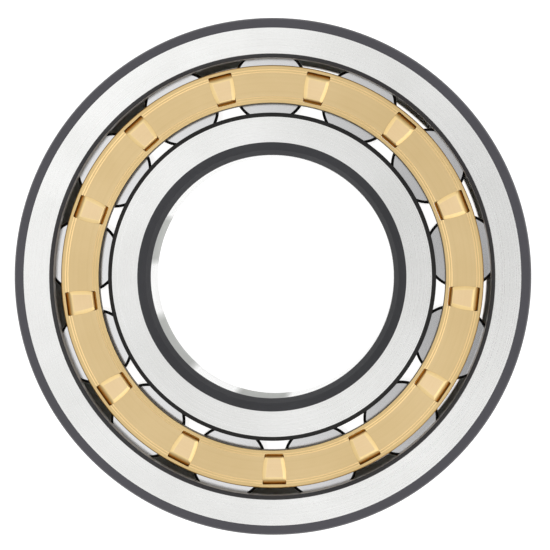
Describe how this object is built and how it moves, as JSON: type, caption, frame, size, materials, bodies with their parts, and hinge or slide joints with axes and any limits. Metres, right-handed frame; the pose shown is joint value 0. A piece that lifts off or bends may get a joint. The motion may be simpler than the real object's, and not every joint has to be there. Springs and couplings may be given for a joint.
{
  "type": "cylindrical roller bearing",
  "caption": "Single-row cylindrical roller bearing: double-flanged outer ring, single-flanged inner ring, and a riveted brass cage that spaces the rollers.",
  "frame": {"origin": "centre of the bearing's plain side, where its axis meets the flat that it lies on", "axes": "+Z along the bearing's axis, towards the side with the inner ring's flange and the cage's riveted cover; +X and +Y across it"},
  "size_m": [0.17, 0.17, 0.039],
  "materials": {
    "ring_steel": "ground faces and seats, with dark turned corners",
    "roller_steel": "fine ground",
    "cage_brass": "turned and milled"
  },
  "bodies": {
    "outer_ring": {"outer_ring": "ring_steel"},
    "inner_ring": {"inner_ring": "ring_steel"},
    "cage": {"cage_body": "cage_brass", "cage_cover": "cage_brass"},
    "roller_01": {"roller_01": "roller_steel"},
    "roller_02": {"roller_02": "roller_steel"},
    "roller_03": {"roller_03": "roller_steel"},
    "roller_04": {"roller_04": "roller_steel"},
    "roller_05": {"roller_05": "roller_steel"},
    "roller_06": {"roller_06": "roller_steel"},
    "roller_07": {"roller_07": "roller_steel"},
    "roller_08": {"roller_08": "roller_steel"},
    "roller_09": {"roller_09": "roller_steel"},
    "roller_10": {"roller_10": "roller_steel"},
    "roller_11": {"roller_11": "roller_steel"},
    "roller_12": {"roller_12": "roller_steel"},
    "roller_13": {"roller_13": "roller_steel"}
  },
  "joints": [
    {"name": "inner_ring_spin", "type": "hinge", "parent": "outer_ring", "child": "inner_ring", "pos_m": [0, 0, 0.0195], "axis": [0, 0, 1], "continuous": true},
    {"name": "cage_orbit", "type": "hinge", "parent": "outer_ring", "child": "cage", "pos_m": [0, 0, 0.0195], "axis": [0, 0, 1], "continuous": true},
    {"name": "roller_01_spin", "type": "hinge", "parent": "cage", "child": "roller_01", "pos_m": [0.06244, 0.00839, 0.0195], "axis": [0, 0, 1], "continuous": true},
    {"name": "roller_02_spin", "type": "hinge", "parent": "cage", "child": "roller_02", "pos_m": [0.05139, 0.03644, 0.0195], "axis": [0, 0, 1], "continuous": true},
    {"name": "roller_03_spin", "type": "hinge", "parent": "cage", "child": "roller_03", "pos_m": [0.02857, 0.05615, 0.0195], "axis": [0, 0, 1], "continuous": true},
    {"name": "roller_04_spin", "type": "hinge", "parent": "cage", "child": "roller_04", "pos_m": [-0.0008, 0.06299, 0.0195], "axis": [0, 0, 1], "continuous": true},
    {"name": "roller_05_spin", "type": "hinge", "parent": "cage", "child": "roller_05", "pos_m": [-0.02998, 0.05541, 0.0195], "axis": [0, 0, 1], "continuous": true},
    {"name": "roller_06_spin", "type": "hinge", "parent": "cage", "child": "roller_06", "pos_m": [-0.0523, 0.03513, 0.0195], "axis": [0, 0, 1], "continuous": true},
    {"name": "roller_07_spin", "type": "hinge", "parent": "cage", "child": "roller_07", "pos_m": [-0.06263, 0.0068, 0.0195], "axis": [0, 0, 1], "continuous": true},
    {"name": "roller_08_spin", "type": "hinge", "parent": "cage", "child": "roller_08", "pos_m": [-0.05862, -0.02309, 0.0195], "axis": [0, 0, 1], "continuous": true},
    {"name": "roller_09_spin", "type": "hinge", "parent": "cage", "child": "roller_09", "pos_m": [-0.04118, -0.04768, 0.0195], "axis": [0, 0, 1], "continuous": true},
    {"name": "roller_10_spin", "type": "hinge", "parent": "cage", "child": "roller_10", "pos_m": [-0.0143, -0.06136, 0.0195], "axis": [0, 0, 1], "continuous": true},
    {"name": "roller_11_spin", "type": "hinge", "parent": "cage", "child": "roller_11", "pos_m": [0.01585, -0.06097, 0.0195], "axis": [0, 0, 1], "continuous": true},
    {"name": "roller_12_spin", "type": "hinge", "parent": "cage", "child": "roller_12", "pos_m": [0.04237, -0.04662, 0.0195], "axis": [0, 0, 1], "continuous": true},
    {"name": "roller_13_spin", "type": "hinge", "parent": "cage", "child": "roller_13", "pos_m": [0.05919, -0.02159, 0.0195], "axis": [0, 0, 1], "continuous": true}
  ],
  "couplings": [
    {"joint": "cage_orbit", "follows": "inner_ring_spin", "ratio": 0.40079},
    {"joint": "roller_01_spin", "follows": "inner_ring_spin", "ratio": -2.4208},
    {"joint": "roller_02_spin", "follows": "inner_ring_spin", "ratio": -2.4208},
    {"joint": "roller_03_spin", "follows": "inner_ring_spin", "ratio": -2.4208},
    {"joint": "roller_04_spin", "follows": "inner_ring_spin", "ratio": -2.4208},
    {"joint": "roller_05_spin", "follows": "inner_ring_spin", "ratio": -2.4208},
    {"joint": "roller_06_spin", "follows": "inner_ring_spin", "ratio": -2.4208},
    {"joint": "roller_07_spin", "follows": "inner_ring_spin", "ratio": -2.4208},
    {"joint": "roller_08_spin", "follows": "inner_ring_spin", "ratio": -2.4208},
    {"joint": "roller_09_spin", "follows": "inner_ring_spin", "ratio": -2.4208},
    {"joint": "roller_10_spin", "follows": "inner_ring_spin", "ratio": -2.4208},
    {"joint": "roller_11_spin", "follows": "inner_ring_spin", "ratio": -2.4208},
    {"joint": "roller_12_spin", "follows": "inner_ring_spin", "ratio": -2.4208},
    {"joint": "roller_13_spin", "follows": "inner_ring_spin", "ratio": -2.4208}
  ]
}
